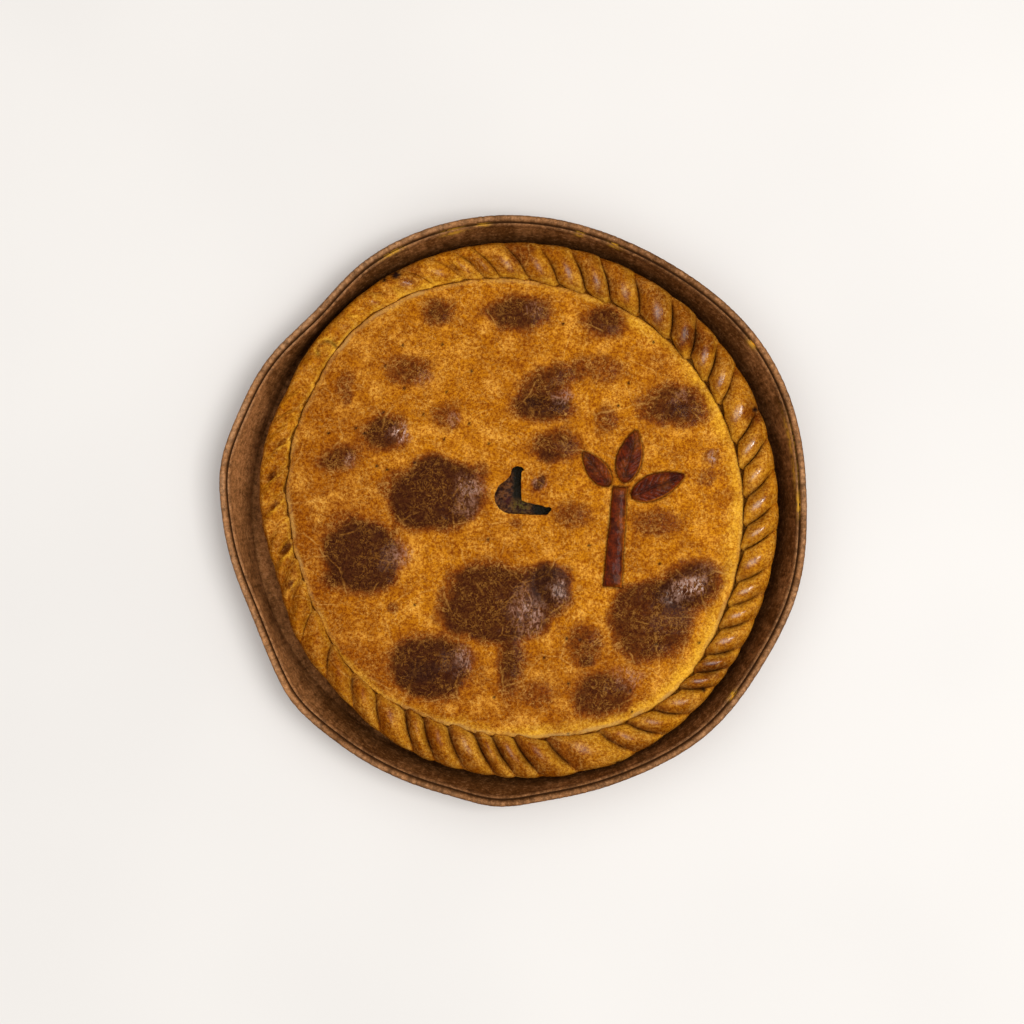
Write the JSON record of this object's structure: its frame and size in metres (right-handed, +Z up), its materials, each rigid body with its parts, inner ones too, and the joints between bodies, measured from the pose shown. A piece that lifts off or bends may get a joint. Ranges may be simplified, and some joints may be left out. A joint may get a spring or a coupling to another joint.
{
  "type": "octopus empanada",
  "caption": "Round octopus-filled dough pie with a blistered golden lid, twisted rope edge, torn vent and dough sprig, standing in its flared kraft paper tray.",
  "frame": {"origin": "centre of the paper tray's flat underside, on the table", "axes": "+Z up through the pie; +X to the right and +Y away, as the pie is seen from above with the sprig on its right half"},
  "size_m": [0.3392, 0.3415, 0.0346],
  "materials": {
    "kraft_paper": "matte kraft paper, grease stained in places",
    "baked_crust": "egg washed golden dough with dark brown blisters, satin",
    "filling": "moist, oily, dark red brown",
    "glazed_dough": "deep brown egg glaze, glossy"
  },
  "bodies": {
    "root": {"tray": "kraft_paper", "crust_base": "baked_crust", "crust_lid": "baked_crust", "filling": "filling", "sprig_stem": "glazed_dough", "sprig_leaf_tip": "glazed_dough", "sprig_leaf_right": "glazed_dough", "sprig_leaf_left": "glazed_dough"}
  },
  "joints": []
}
